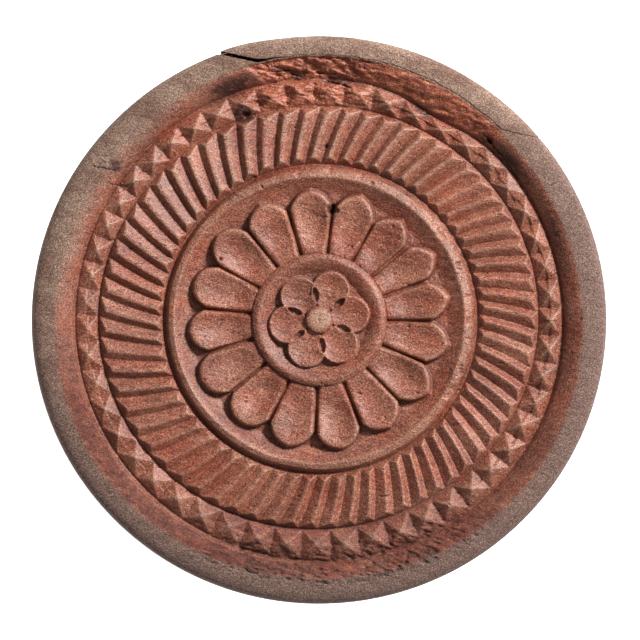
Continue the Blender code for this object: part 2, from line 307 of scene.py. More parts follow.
def petal_place(angle):
    """For each angle: its share across its petal, from -1 to 1, and half the petal's width in radians."""
    directions = np.radians(PETAL_DIRECTIONS)
    count = len(directions)
    share = np.zeros_like(angle)
    half_width = np.ones_like(angle)
    number = np.zeros(angle.shape, int)
    for i in range(count):
        middle = directions[i]
        before = directions[i - 1] - (math.tau if i == 0 else 0)
        after = directions[(i + 1) % count] + (math.tau if i == count - 1 else 0)
        turn = (angle - middle + math.pi) % math.tau - math.pi
        back, ahead = (middle - before) / 2, (after - middle) / 2
        inside = (turn >= -back) & (turn < ahead)
        share = np.where(inside, np.where(turn < 0, turn / back, turn / ahead), share)
        half_width = np.where(inside, np.where(turn < 0, back, ahead), half_width)
        number = np.where(inside, i, number)
    return share, half_width, number


def petal_depth(angle, radius):
    """Sixteen dished petals, the sunk ground round them and the cove up to the ring ridge."""
    share, half_width, number = petal_place(angle)
    across = np.abs(share)
    reach = PETAL_TIP + 0.3 * np.sin(number * 2.3)
    pointed = 0.36 + 0.16 * np.cos(angle - math.radians(10)) + 0.08 * np.sin(number * 4.1)
    tip = mix(PETAL_VALLEY, reach, 1 - pointed * across - (1 - pointed) * across**3.2)
    groove_half = 0.26 + 0.14 * np.sin(number * 1.7)
    inside_side = (1 - across) * half_width * radius - groove_half
    inside_tip = (tip - radius) * 0.85
    inside = np.minimum(inside_side, inside_tip)
    cove_start = PETAL_VALLEY + 3.4
    cove = np.clip((radius - cove_start) / (RIDGE_CREST - cove_start), 0, 1)
    ground = 3.2 + 0.4 * step_up(HUB_RADIUS, PETAL_VALLEY, radius) - 2.0 * cove**1.2
    top = 1.95 - 0.55 * step_up(HUB_RADIUS, PETAL_TIP - 2.5, radius)
    dish = 1.1 + 0.25 * np.sin(number * 3.3)
    top = top + dish * (1 - across**2) * step_up(HUB_RADIUS, HUB_RADIUS + 5, radius) * step_up(-0.5, 5.5, inside_tip)
    chamfer = 0.3 * (1 - step_up(0.0, 0.9, inside))
    return mix(ground, np.minimum(top + chamfer, ground), step_up(-0.35, 0.3, inside))


def ridge_depth(angle, radius):
    """The outer slope of the ring ridge, down to the groove round it."""
    share = (radius - RIDGE_CREST) / (FLUTE_GROOVE - RIDGE_CREST)
    return 1.55 + 0.8 * share + 1.2 * step_up(0.5, 1.0, share)


def flute_depth(angle, radius):
    """Slanting saw-tooth flutes on a raised ring that is bevelled along both edges."""
    middle = (FLUTE_GROOVE + PYRAMID_GROOVE) / 2
    lean = FLUTE_LEAN * (middle - radius) / (10.6 / 60 * RADIUS)
    share = (angle - flute_drift(angle) - lean) / math.tau * FLUTES % 1.0
    roundness = mix(1.35, 0.95, arc_share(angle, 262, 350, 50))
    rise = 1 - (1 - np.clip(share / FLUTE_CREST_SHARE, 0, 1)) ** roundness
    fall = (1 - share) / (1 - FLUTE_CREST_SHARE)
    height = np.where(share < FLUTE_CREST_SHARE, rise, fall)
    number = np.floor((angle - flute_drift(angle) - lean) / math.tau * FLUTES)
    uneven = 0.18 * np.sin(number * 2.1) + 0.12 * np.sin(number * 5.3)
    height = height - 0.08 * bump(height, 1.0, 0.08)
    cut = 3.25 + uneven * 0.5 - (1.4 + uneven) * height
    inner_bevel = 1.9 + (FLUTE_GROOVE + 1.6 - radius) * 1.1
    outer_bevel = 1.9 + (radius - PYRAMID_GROOVE + 1.3) * 1.1
    return np.maximum(cut, np.maximum(inner_bevel, outer_bevel))


def pyramid_depth(angle, radius):
    """Four-sided pyramids, base to base, between two grooves."""
    place = (angle - pyramid_drift(angle)) / math.tau * PYRAMIDS
    number = np.floor(place)
    across = np.abs(2 * (place - number) - 1)
    apex = 0.8 * RADIUS + 0.25 * np.sin(number * 2.7)
    low = 0.22 + 0.22 * np.sin(number * 1.9) + 0.5 * arc_share(angle, 165, 205, 30)
    along = np.where(
        radius < apex,
        (apex - radius) / (apex - PYRAMID_GROOVE - 0.4),
        (radius - apex) / (RIM_GROOVE - 0.5 - apex),
    )
    base = np.where(radius < apex, 3.45, 3.05)
    slant = np.sqrt(np.maximum(across, along) ** 2 + 0.004)
    top = 1.25 + low
    return np.minimum(top + (base - top) * slant, base + 0.1) + 0.2 * step_up(0.97, 1.15, along)


def rim_depth(angle, radius):
    """The rim's inner slope, from its groove up to its crest."""
    share = np.clip((radius - RIM_GROOVE) / (RIM_CREST - RIM_GROOVE), 0, 1)
    return 2.7 * (1 - share) ** 1.55 + 0.45 * (1 - step_up(0.0, 0.16, share)) * (share > 0)


def face_depth(angle, radius):
    zones = (
        (0.0, HUB_RADIUS + 0.2, hub_depth),
        (HUB_RADIUS + 0.2, RIDGE_CREST, petal_depth),
        (RIDGE_CREST, FLUTE_GROOVE, ridge_depth),
        (FLUTE_GROOVE, PYRAMID_GROOVE, flute_depth),
        (PYRAMID_GROOVE, RIM_GROOVE, pyramid_depth),
        (RIM_GROOVE, RADIUS, rim_depth),
    )
    depth = np.zeros_like(radius)
    for start, end, law in zones:
        inside = (radius >= start) & (radius < end)
        depth[inside] = law(angle[inside], radius[inside])
    return depth


# The rim's flank, the strip split off it, and the turned back.

FLANK_PROFILE = (
    # share of the radius, and depth
    (0.920, 0.0),
    (0.950, 0.18),
    (0.975, 0.55),
    (0.990, 1.3),
    (0.9975, 3.2),
    (0.999, 10.8),
)
EDGE_PROFILE = ((1.0, 12.4), (0.993, 14.0))
BACK_PROFILE = (
    (0.977, 14.9),
    (0.957, 15.0),
    (0.947, 15.8),
    (0.883, 18.4),
    (0.767, 20.8),
    (0.600, 22.4),
    (0.433, 23.3),
    (0.390, 23.7),
)
BOSS_PROFILE = (
    (0.390, 23.7),
    (0.350, 24.4),
    (0.310, 26.4),
    (0.2967, 29.0),
    (0.2917, 33.4),
    (0.2783, 34.2),
    (0.1700, 34.2),
)
FLANK_STEPS = 48


def grain_place(x, y):
    """Distances along and across the fibres."""
    along = x * math.cos(GRAIN_TURN) + y * math.sin(GRAIN_TURN)
    return along, y * math.cos(GRAIN_TURN) - x * math.sin(GRAIN_TURN)


def split_radius(angle):
    """Where the split meets the top of the rim: the radius beyond which the wood is the strip's."""
    radius = np.full_like(angle, RADIUS)
    inside = (turn_from(angle, 75) > -38) & (turn_from(angle, 75) < 38)
    lines = []
    for degrees, at in (STRIP_RIGHT, STRIP_LEFT):
        turn = math.radians(degrees)
        offset = grain_place(at * math.cos(turn), at * math.sin(turn))[1]
        lines.append(offset / np.maximum(np.sin(angle - GRAIN_TURN), 0.05))
    right = np.where(turn_from(angle, 75) < 0, lines[0], 0)
    left = np.where(turn_from(angle, 75) >= 0, lines[1], 0)
    wander = 0.16 * layered_noise(np.degrees(angle), 0 * angle, 2.5, 1.0, 51)
    wander = wander + 0.1 * layered_noise(np.degrees(angle), 0 * angle, 0.6, 1.0, 53)
    crack = np.maximum(np.maximum(right, left), RIM_CREST + 0.15) + wander
    radius[inside] = crack[inside]
    return np.minimum(radius, RADIUS)


def whole_flank():
    curve = curve_through(FLANK_PROFILE, 12)
    return curve[:, 0] * RADIUS, curve[:, 1]


def split_curve(start_radius, start_depth, share):
    """The split's surface, from the top of the rim down to where it leaves the flank."""
    foot_radius, foot_depth = STRIP_FOOT
    radius = mix(start_radius, foot_radius, share**1.5)
    return radius, mix(start_depth, foot_depth, share**0.85)


def flank_rows(angle):
    """Radii, depths and how far each point is split away, one row for each step down the flank."""
    radii, depths = whole_flank()
    steps = np.linspace(0, 1, len(radii))
    start = np.interp(split_radius(angle), radii, steps)
    start_depth = np.interp(start, steps, depths)
    rows = []
    for step in np.linspace(0, 1, FLANK_STEPS):
        whole_radius = np.interp(step, steps, radii)
        whole_depth = np.interp(step, steps, depths)
        share = np.clip((step - start) / np.maximum(1 - start, 0.001), 0, 1)
        split = split_curve(np.interp(start, steps, radii), start_depth, share)
        is_split = (share > 0) & (start < 0.999)
        radius = np.where(is_split, split[0], whole_radius)
        depth = np.where(is_split, split[1], whole_depth)
        rows.append((radius, depth, is_split * 1.0))
    return rows


# Mesh building.


class Surface:
    """Rings of points about the turning axis, joined into one skin."""

    def __init__(self):
        self.points = []
        self.triangles = []
        self.quads = []
        self.fields = {}
        self.count = 0
        self.last = None

    def add_points(self, points, fields):
        first = self.count
        self.points.append(points)
        for name, values in fields.items():
            self.fields.setdefault(name, []).append(values)
        self.count += len(points)
        return np.arange(first, self.count)

    def bridge(self, inner, outer):
        """Faces between two rings. The outer one may have the same number of points, twice or half."""
        if len(inner) == len(outer):
            self.quads.append(np.stack([inner, np.roll(inner, -1), np.roll(outer, -1), outer], 1))
            return
        coarse, fine, flip = (inner, outer, False) if len(inner) < len(outer) else (outer, inner, True)
        following = np.roll(coarse, -1)
        even, odd = fine[0::2], fine[1::2]
        after = np.roll(even, -1)
        faces = [
            np.stack([coarse, odd, even], 1),
            np.stack([coarse, following, odd], 1),
            np.stack([following, after, odd], 1),
        ]
        for face in faces:
            self.triangles.append(face[:, ::-1] if flip else face)

    def close(self, ring, point, flip):
        following = np.roll(ring, -1)
        face = np.stack([np.full(len(ring), point), ring, following], 1)
        self.triangles.append(face[:, ::-1] if flip else face)

    def make(self, name):
        points = np.concatenate(self.points)
        triangles = np.concatenate(self.triangles) if self.triangles else np.zeros((0, 3), int)
        quads = np.concatenate(self.quads)
        data = bpy.data.meshes.new(name)
        data.vertices.add(len(points))
        data.vertices.foreach_set("co", (points * MM).astype(np.float32).ravel())
        corners = np.concatenate([quads.ravel(), triangles.ravel()])
        sizes = np.concatenate([np.full(len(quads), 4), np.full(len(triangles), 3)])
        starts = np.concatenate([[0], np.cumsum(sizes)[:-1]])
        data.loops.add(len(corners))
        data.loops.foreach_set("vertex_index", corners.astype(np.int32))
        data.polygons.add(len(sizes))
        data.polygons.foreach_set("loop_start", starts.astype(np.int32))
        data.update(calc_edges=True)
        data.shade_smooth()
        for field, values in self.fields.items():
            attribute = data.attributes.new(field, "FLOAT", "POINT")
            attribute.data.foreach_set("value", np.concatenate(values).astype(np.float32))
        obj = bpy.data.objects.new(name, data)
        bpy.context.scene.collection.objects.link(obj)
        return obj


def to_points(angle, radius, depth, across=ACROSS_GRAIN):
    x = radius * np.cos(angle)
    y = radius * np.sin(angle) * across
    return np.stack([x, y, HEIGHT - depth], -1)


def columns_at(radius):
    count = COLUMNS
    while radius < 0.4 * RADIUS * count / COLUMNS and count > 48:
        count //= 2
    return count


def even_turn(count):
    return np.arange(count) * math.tau / count


def hollowness(angle, radius, depth):
    """How much lower than its surroundings each point of the face lies, from -1 to 1."""
    lower = 0.0
    for reach in (0.7, 1.6):
        turn = reach / np.maximum(radius, reach)
        around = 0.0
        for step in (-1, 1):
            around = around + face_depth((angle + step * turn) % math.tau, radius)
            around = around + face_depth(angle, np.clip(radius + step * reach, 0, RIM_CREST))
        lower = lower + (depth - around / 4) / (0.5 + reach)
    return np.clip(lower, -1, 1)


def damage(angle, radius, x, y):
    """Extra depth, how torn the wood is, and how dark it is painted at points of the face: real stains and cracks, and
    painted shade in the pits.
    """
    along_grain, across_grain = grain_place(x, y)
    ragged = layered_noise(along_grain, across_grain, 3.6, 0.6, 11)
    flakes = np.floor((layered_noise(along_grain, across_grain, 3.4, 1.2, 12) + 1) * 3.6) / 3.6
    crumbs = layered_noise(x, y, 1.1, 0.8, 16)
    inner_end = 0.838 * RADIUS + 0.06 * RADIUS * step_up(102, 106, np.degrees(angle))
    torn = arc_share(angle, 46, 109, 6) * step_up(inner_end, inner_end + 0.03 * RADIUS, radius)
    worst = arc_share(angle, 78, 108, 12)
    extra = torn * (0.15 + 0.3 * ragged + 0.2 * crumbs)
    extra = extra + torn * worst * (0.7 * flakes + 0.4 * np.abs(ragged) + 0.3 * crumbs)
    chipped = arc_share(angle, 64, 114, 12) * bump(radius, 0.80 * RADIUS, 0.055 * RADIUS)
    extra = extra + chipped * (0.6 * np.abs(ragged) + 0.45 * flakes + 0.3 * crumbs) * (0.4 + 0.6 * worst)
    rough = arc_share(angle, 244, 308, 24) * step_up(0.775 * RADIUS, 0.84 * RADIUS, radius)
    rough = rough * step_up(0.945 * RADIUS, 0.925 * RADIUS, radius + 0.8 * ragged)
    pitted = np.clip(layered_noise(along_grain, across_grain, 1.3, 0.45, 13) + 0.1, 0, 1)
    extra = extra + rough * (0.55 * pitted + 0.35 * np.abs(ragged) + 0.15 * crumbs)
    stain = rough * (0.15 + 0.6 * step_up(0.15, 0.6, pitted))
    nicks = np.clip(layered_noise(x, y, 1.7, 0.7, 17) - 0.6, 0, 1) * (radius < RIM_CREST)
    extra = extra + 1.6 * nicks
    stain = np.maximum(stain, step_up(0.02, 0.16, nicks) * 0.5)
    chips = np.clip(layered_noise(x, y, 2.2, 1.6, 18) - 0.05, 0, 1) * bump(radius, RIDGE_CREST + 1.0, 0.7)
    extra = extra + 1.3 * chips * arc_share(angle, -40, 105, 40)
    for direction, at, length, width, strength in STAINS:
        aside = turn_from(angle, direction) / width
        along = (radius - at) / length
        spot = np.exp(-(aside**2) - along**2)
        patchy = 0.95 + 0.9 * layered_noise(x, y, 0.9, 0.5, 14)
        stain = np.maximum(stain, np.clip(1.9 * strength * spot * patchy, 0, 0.95))
        extra = extra + 0.35 * spot * np.abs(crumbs)
    for start, end, width, depth in CRACKS:
        gap = line_gap(x, y, start, end, width)
        extra = extra + depth * gap
        stain = np.maximum(stain, 0.9 * gap)
    for direction, at, size, depth in PITS:
        turn = math.radians(direction)
        away = np.hypot(x - at * math.cos(turn), y - at * math.sin(turn))
        pit = step_up(1.0, 0.3, away / size * (1 + 0.5 * layered_noise(x, y, 0.8, 0.8, 15)))
        extra = extra + depth * pit
        # The pit is painted fully dark: painted shade in the hole.
        stain = np.maximum(stain, pit)
    torn = np.maximum(torn, chipped * worst * 0.6)
    for direction, at, length, width in FRESH_WOOD:
        spot = np.exp(-((turn_from(angle, direction) / width) ** 2) - ((radius - at) / length) ** 2)
        torn = np.maximum(torn, np.clip(1.6 * spot + 0.4 * ragged * spot, 0, 1))
    return extra, torn, np.clip(stain, 0, 1)


def line_gap(x, y, start, end, width):
    """1 along a ragged crack between two places given as (degrees, radius), 0 off it."""
    from_x, from_y = start[1] * math.cos(math.radians(start[0])), start[1] * math.sin(math.radians(start[0]))
    to_x, to_y = end[1] * math.cos(math.radians(end[0])), end[1] * math.sin(math.radians(end[0]))
    length = math.hypot(to_x - from_x, to_y - from_y)
    along = ((x - from_x) * (to_x - from_x) + (y - from_y) * (to_y - from_y)) / length
    aside = ((x - from_x) * (to_y - from_y) - (y - from_y) * (to_x - from_x)) / length
    aside = aside + 0.3 * layered_noise(x, y, 1.1, 1.1, 21)
    taper = step_up(-0.4, 0.15 * length, along) * step_up(length + 0.4, 0.85 * length, along)
    return taper * step_up(1.0, 0.3, np.abs(aside) / width)


def grain_relief(x, y, depth):
    """The slight ridges that weathering leaves between the fibres."""
    along, across = grain_place(x, y)
    across = across + 1.7 * depth
    return 0.03 * layered_noise(along, across, 5.0, 0.5, 31) + 0.05 * layered_noise(x, y, 1.0, 0.7, 32)


def tool_marks(angle, radius):
    """Fine marks across the petals, left by the gouge."""
    on_petals = step_up(HUB_RADIUS, HUB_RADIUS + 2, radius) * step_up(PETAL_TIP, PETAL_TIP - 2, radius)
    x, y = radius * np.cos(angle), radius * np.sin(angle)
    wander = 2.5 * layered_noise(x, y, 2.4, 2.4, 33)
    faint = 0.5 + 0.5 * layered_noise(x, y, 3.5, 3.5, 34)
    return 0.022 * on_petals * faint * np.sin(radius * 6.0 + wander * 2 + 3 * np.cos(16 * angle))


def face_ring(surface, radius):
    angle = even_turn(columns_at(radius))
    nominal = np.full_like(angle, radius)
    depth = face_depth(angle, nominal)
    true_radius = nominal + ring_drift(angle, nominal)
    x, y = true_radius * np.cos(angle), true_radius * np.sin(angle)
    extra, torn, stain = damage(angle, nominal, x, y)
    hollow = hollowness(angle, nominal, depth)
    on_slope = step_up(RIM_GROOVE, RIM_GROOVE + 1, nominal) * step_up(RIM_CREST + 0.5, RIM_CREST - 1, nominal)
    # Where hollow is below zero the face is painted pale: partly wear on the crests, partly painted highlight.
    hollow = np.where(nominal < RIDGE_CREST - 1, np.maximum(hollow, 0.45 * hollow), hollow)
    # The boss top is painted pale: wear and painted highlight.
    hollow = hollow - 0.75 * step_up(BOSS_TOP_RADIUS, 0.6 * BOSS_TOP_RADIUS, nominal)
    # On the flutes the painted crest highlight and hollow shade are kept strongest along the top arc.
    on_flutes = step_up(FLUTE_GROOVE, FLUTE_GROOVE + 1, nominal) * (nominal < PYRAMID_GROOVE - 1)
    hollow = hollow * mix(1.0, mix(0.5, 0.95, arc_share(angle, 40, 150, 60)), on_flutes)
    # Painted darker towards the bottom and lower left: on the rim's slope and the cove this is painted shade, on the
    # band over the bottom pyramids it is grime.
    dirt = on_slope * mix(0.1, 1.0, arc_share(angle, 183, 340, 34)) * mix(1.0, 0.75, arc_share(angle, 260, 400, 40))
    grimy = step_up(0.72 * RADIUS, 0.76 * RADIUS, nominal) * (nominal < RIM_GROOVE)
    dirt = dirt + 0.55 * grimy * arc_share(angle, 238, 308, 40)
    on_cove = step_up(PETAL_TIP - 1, PETAL_TIP + 1, nominal) * step_up(RIDGE_CREST - 0.3, RIDGE_CREST - 1.5, nominal)
    dirt = dirt + 0.4 * on_cove * arc_share(angle, 190, 300, 60)
    depth = depth + extra + grain_relief(x, y, 0 * x) + tool_marks(angle, nominal)
    depth = np.maximum(depth, 0.03)
    edge = 0.955 * RADIUS - 0.07 * RADIUS * arc_share(angle, 115, 180, 40)
    ragged = 1.2 * layered_noise(x, y, 3.2, 1.6, 41)
    weathered = 0.85 * step_up(-2.5, 2.5, nominal - edge + ragged)
    weathered = np.maximum(weathered, step_up(RIM_CREST - 0.9, RIM_CREST + 0.3, nominal + ragged * 0.5))
    fields = ring_fields(angle, hollow=hollow, torn=torn, stain=stain, weathered=weathered * (1 - torn), dirt=dirt)
    return surface.add_points(to_points(angle, true_radius, depth), fields)


def make_block():
    surface = Surface()
    centre = np.zeros(1)
    top = to_points(centre, centre, hub_depth(centre, centre))
    # The middle point is painted pale like the boss top: wear and painted highlight.
    middle = surface.add_points(top, ring_fields(centre, hollow=-0.75, weathered=0.0))
    last = None
    for radius in np.arange(FINE_STEP, RIM_CREST, FINE_STEP):
        ring = face_ring(surface, radius)
        if last is None:
            surface.close(ring, middle[0], False)
        else:
            surface.bridge(last, ring)
        last = ring
    for ring in flank_and_back(surface):
        surface.bridge(last, ring)
        last = ring
    block = surface.make("carved_wood")
    join_boss(block)
    return block


def crest_drift(angle, radius):
    """The rim's crest runs in and out a little. The flank below it is true."""
    share = np.clip((RADIUS - radius) / (RADIUS - RIM_CREST), 0, 1)
    return 0.5 * np.cos(3 * (angle - math.radians(88))) * share


def flank_and_back(surface):
    rings = []
    angle = even_turn(COLUMNS)
    for radius, depth, is_split in flank_rows(angle):
        true_radius = radius + crest_drift(angle, radius)
        x, y = true_radius * np.cos(angle), true_radius * np.sin(angle)
        rough = grain_relief(x, y, depth)
        stain = damage(angle, radius, x, y)[2] * (1 - is_split)
        depth = np.maximum(depth + 0.5 * rough + 0.6 * stain * (depth < 2), 0.03)
        true_radius = np.minimum(true_radius - np.abs(rough), RADIUS - 0.03)
        outwards = step_up(0.955 * RADIUS, 0.985 * RADIUS, radius)
        # How dark the flank is painted here: weathering and painted shade, a little more towards the outer edge.
        old = np.clip(old_side(angle) + outwards * (0.2 + 0.08 * arc_share(angle, 110, 200, 40)), 0, 1)
        # The split face under the strip is painted dark: painted shade in the gap between strip and block.
        fields = ring_fields(angle, torn=is_split, stain=np.maximum(stain, 0.6 * is_split), old=old)
        rings.append(surface.add_points(to_points(angle, true_radius, depth), fields))
    for share, row_depth in curve_through(EDGE_PROFILE + BACK_PROFILE, 12):
        count = COLUMNS if share > 0.95 else COLUMNS // 2 if share > 0.6 else COLUMNS // 4
        angle = even_turn(count)
        flat = np.full(count, share * RADIUS)
        x, y = flat * np.cos(angle), flat * np.sin(angle)
        turned = 0.04 * np.sin(flat * 3.1) + grain_relief(x, y, 0 * x)
        on_edge = step_up(0.9, 0.97, share)
        depth = row_depth - turned * (1 - on_edge)
        radius = np.minimum(flat - on_edge * np.abs(turned), RADIUS - 0.03)
        rings.append(surface.add_points(to_points(angle, radius, depth), ring_fields(angle)))
    return rings


def ring_fields(angle, **values):
    fields = {"hollow": 0.0, "torn": 0.0, "stain": 0.0, "weathered": 1.0, "dirt": 0.0}
    fields["old"] = old_side(angle)
    fields.update(values)
    return {name: np.broadcast_to(value, angle.shape).astype(float) for name, value in fields.items()}


def old_side(angle):
    """How dark the rim's flank is painted: most at the bottom, the lower left and the right, least at the top and left.
    It is partly weathering, partly painted shade on a flank kept nearly flat.
    """
    return np.maximum(0.85 * arc_share(angle, 190, 345, 50), 0.85 * arc_share(angle, 300, 400, 40))


# The back's boss, with the socket for the handle's tenon and the hole for the peg.


def peg_hole_cutter():
    bpy.ops.mesh.primitive_cylinder_add(
        vertices=96,
        radius=PEG_HOLE_RADIUS * MM,
        depth=4 * BOSS_RADIUS * MM,
        location=(0, 0, (HEIGHT - PEG_DEPTH) * MM),
        rotation=(0, math.pi / 2, 0),
    )
    return bpy.context.object


def cut_peg_hole(obj):
    """Cuts the peg's hole for good, and takes the cutter away."""
    cutter = peg_hole_cutter()
    modifier = obj.modifiers.new("peg_hole", "BOOLEAN")
    modifier.object = cutter
    modifier.operation = "DIFFERENCE"
    modifier.solver = "EXACT"
    shapes = bpy.context.evaluated_depsgraph_get()
    cut_mesh = bpy.data.meshes.new_from_object(obj.evaluated_get(shapes))
    obj.modifiers.clear()
    obj.data = cut_mesh
    bpy.data.objects.remove(cutter)


def make_boss():
    """The boss as a closed body. Its upper skin lies inside the block, and join_boss() removes it."""
    count = COLUMNS // 4
    angle = even_turn(count)
    socket = SOCKET_RADIUS
    inside = ((socket + 0.5, BOSS_END), (socket, BOSS_END - 0.6), (socket, SOCKET_FLOOR))
    profile = [(share * RADIUS, depth) for share, depth in curve_through(BOSS_PROFILE, 10)]
    for (radius, depth), (next_radius, next_depth) in zip(inside, inside[1:], strict=False):
        for step in np.arange(0, 1, 0.08):
            profile.append((mix(radius, next_radius, step), mix(depth, next_depth, step)))
    profile.append(inside[-1])
    surface = Surface()
    cap_depth = SOCKET_FLOOR - 1.0
    cap_radius = BOSS_PROFILE[0][0] * RADIUS - 0.5
    rings = []
    for radius, depth in [(cap_radius, cap_depth), *profile]:
        flat = np.full(count, radius)
        x, y = flat * np.cos(angle), flat * np.sin(angle)
        wear = grain_relief(x, y, np.full(count, depth)) * (radius < cap_radius)
        # The socket's inside is painted dark: painted shade in the recess.
        hollow = 0.8 * (radius < socket + 0.1)
        fields = ring_fields(angle, hollow=hollow)
        rings.append(surface.add_points(to_points(angle, flat - np.abs(wear), np.full(count, depth)), fields))
    for ring, following in zip(rings, rings[1:], strict=False):
        surface.bridge(ring, following)
    for ring, depth, flip in ((rings[0], cap_depth, False), (rings[-1], SOCKET_FLOOR, True)):
        point = surface.add_points(to_points(np.zeros(1), np.zeros(1), np.full(1, depth)), ring_fields(np.zeros(1)))
        surface.close(ring, point[0], flip)
    boss = surface.make("boss")
    cut_peg_hole(boss)
    return boss


def join_boss(block):
    """Joins the boss to the block, without its hidden upper skin."""
    boss = make_boss()
    mesh = bmesh.new()
    mesh.from_mesh(boss.data)
    top = (HEIGHT - BOSS_PROFILE[0][1]) * MM
    hidden = []
    for face in mesh.faces:
        middle = face.calc_center_median()
        outside_socket = math.hypot(middle.x, middle.y) > 1.2 * SOCKET_RADIUS * MM
        above_floor = middle.z > (HEIGHT - SOCKET_FLOOR + 0.3) * MM
        if above_floor or (outside_socket and middle.z > top):
            hidden.append(face)
    bmesh.ops.delete(mesh, geom=hidden, context="FACES")
    mesh.to_mesh(boss.data)
    mesh.free()
    with bpy.context.temp_override(active_object=block, selected_editable_objects=[block, boss]):
        bpy.ops.object.join()
    mesh = bmesh.new()
    mesh.from_mesh(block.data)
    seam = [v for v in mesh.verts if v.is_boundary]
    bmesh.ops.remove_doubles(mesh, verts=seam, dist=0.05 * MM)
    mesh.to_mesh(block.data)
    mesh.free()
    block.data.shade_smooth()


# The strip split off the rim, the handle and the peg.


def make_strip():
    """The strip: the rim's flank outside, and just off the split inside."""
    radii, depths = whole_flank()
    steps = np.linspace(0, 1, len(radii))
    angle = np.radians(np.arange(38.0, 112.0, 0.12))
    open_end = step_up(97, 104, np.degrees(angle))
    broken = layered_noise(np.degrees(angle), 0 * angle, 1.5, 1.0, 52)
    gap = STRIP_GAP * (0.04 + (0.95 + 0.5 * broken) * open_end + 0.3 * np.clip(broken - 0.15, 0, 1))
    start_radius = split_radius(angle) + gap
    angle = angle[start_radius < RADIUS - 0.25]
    start_radius = start_radius[start_radius < RADIUS - 0.25]
    start = np.interp(start_radius, radii, steps)
    turn = np.degrees(angle)
    proud = 0.55 * step_up(96, 107, turn)
    surface = Surface()
    columns = []
    count = 26
    for side in ("outside", "inside"):
        for share in np.linspace(0, 1, count):
            if side == "outside":
                step = mix(start, 0.97, share)
                radius, depth = np.interp(step, steps, radii), np.interp(step, steps, depths)
            else:
                radius, depth = split_curve(start_radius, np.interp(start, steps, depths), 0.95 - 0.9 * share)
                radius = radius + 0.3 * STRIP_GAP
            true_radius = radius + crest_drift(angle, radius)
            x, y = true_radius * np.cos(angle), true_radius * np.sin(angle)
            rough = grain_relief(x, y, depth)
            limit = RADIUS - 0.03
            lifted = proud * (1 - 0.95 * np.clip(depth / STRIP_FOOT[1], 0, 1))
            true_radius = np.minimum(true_radius - np.abs(rough), limit) + lifted
            is_outside = float(side == "outside")
            # The strip's inner face is painted a little dark: painted shade in the gap.
            fields = ring_fields(angle, torn=1 - is_outside, stain=0.3 * (1 - is_outside))
            points = to_points(angle, true_radius, np.maximum(depth + 0.5 * rough, 0.03))
            columns.append(surface.add_points(points, fields))
    for here, there in zip(columns, columns[1:] + columns[:1], strict=True):
        surface.quads.append(np.stack([here[:-1], here[1:], there[1:], there[:-1]], 1))
    for end, flip in ((0, False), (-1, True)):
        ends = np.array([column[end] for column in columns])
        half = len(ends) // 2
        outer, inner = ends[:half], ends[half:][::-1]
        face = np.stack([outer[:-1], outer[1:], inner[1:], inner[:-1]], 1)
        surface.quads.append(face[:, ::-1] if flip else face)
    return surface.make("split_strip")


def make_handle():
    """The turned handle, from its tenon down to the flat end of the knob."""
    scale = KNOB_RADIUS / 22
    count = 240
    angle = even_turn(count)
    turned = [(radius * scale, HEIGHT * (1 - height / 95)) for radius, height in curve_through(HANDLE_PROFILE, 10)]
    shoulder = BOSS_END + STRIP_GAP
    tenon = SOCKET_RADIUS - 0.3
    profile = [(tenon * 0.5, TENON_TIP), (tenon - 1.2, TENON_TIP), (tenon, TENON_TIP + 1.4)]
    profile += [(tenon, mix(TENON_TIP + 1.4, shoulder, step)) for step in np.arange(0.1, 1.05, 0.1)]
    profile += [(mix(tenon, turned[0][0] - 0.6, step), shoulder) for step in np.arange(0.2, 1.05, 0.2)]
    profile += turned + [(turned[-1][0] * share, HEIGHT) for share in (0.8, 0.5, 0.2)]
    surface = Surface()
    rings = []
    for radius, depth in profile:
        flat = np.full(count, radius)
        height = np.full(count, max(HEIGHT - depth, 0.0))
        lines = 0.03 * np.sin(depth * 9) + 0.05 * layered_noise(np.degrees(angle), height, 5.0, 9.0, 61)
        dents = 0.12 * np.clip(layered_noise(np.degrees(angle), height, 14.0, 5.0, 62) - 0.25, 0, 1)
        worn = np.where(height > 0.5, np.abs(lines) + dents, 0)
        grooves = bump(depth, HEIGHT * (1 - 57.4 / 95), 1.0) + bump(depth, HEIGHT * (1 - 51.6 / 95), 1.2)
        # The handle's two grooves are painted dark: grime and painted shade.
        fields = ring_fields(angle, hollow=np.clip(grooves, 0, 1) * 0.8)
        points = to_points(angle, flat - worn, HEIGHT - height, 1.0)
        rings.append(surface.add_points(points, fields))
    for ring, following in zip(rings, rings[1:], strict=False):
        surface.bridge(ring, following)
    for ring, depth, flip in ((rings[0], TENON_TIP, False), (rings[-1], HEIGHT, True)):
        point = surface.add_points(to_points(np.zeros(1), np.zeros(1), np.full(1, depth)), ring_fields(np.zeros(1)))
        surface.close(ring, point[0], flip)
    handle = surface.make("turned_handle")
    cut_peg_hole(handle)
    handle.data.shade_smooth()
    return handle


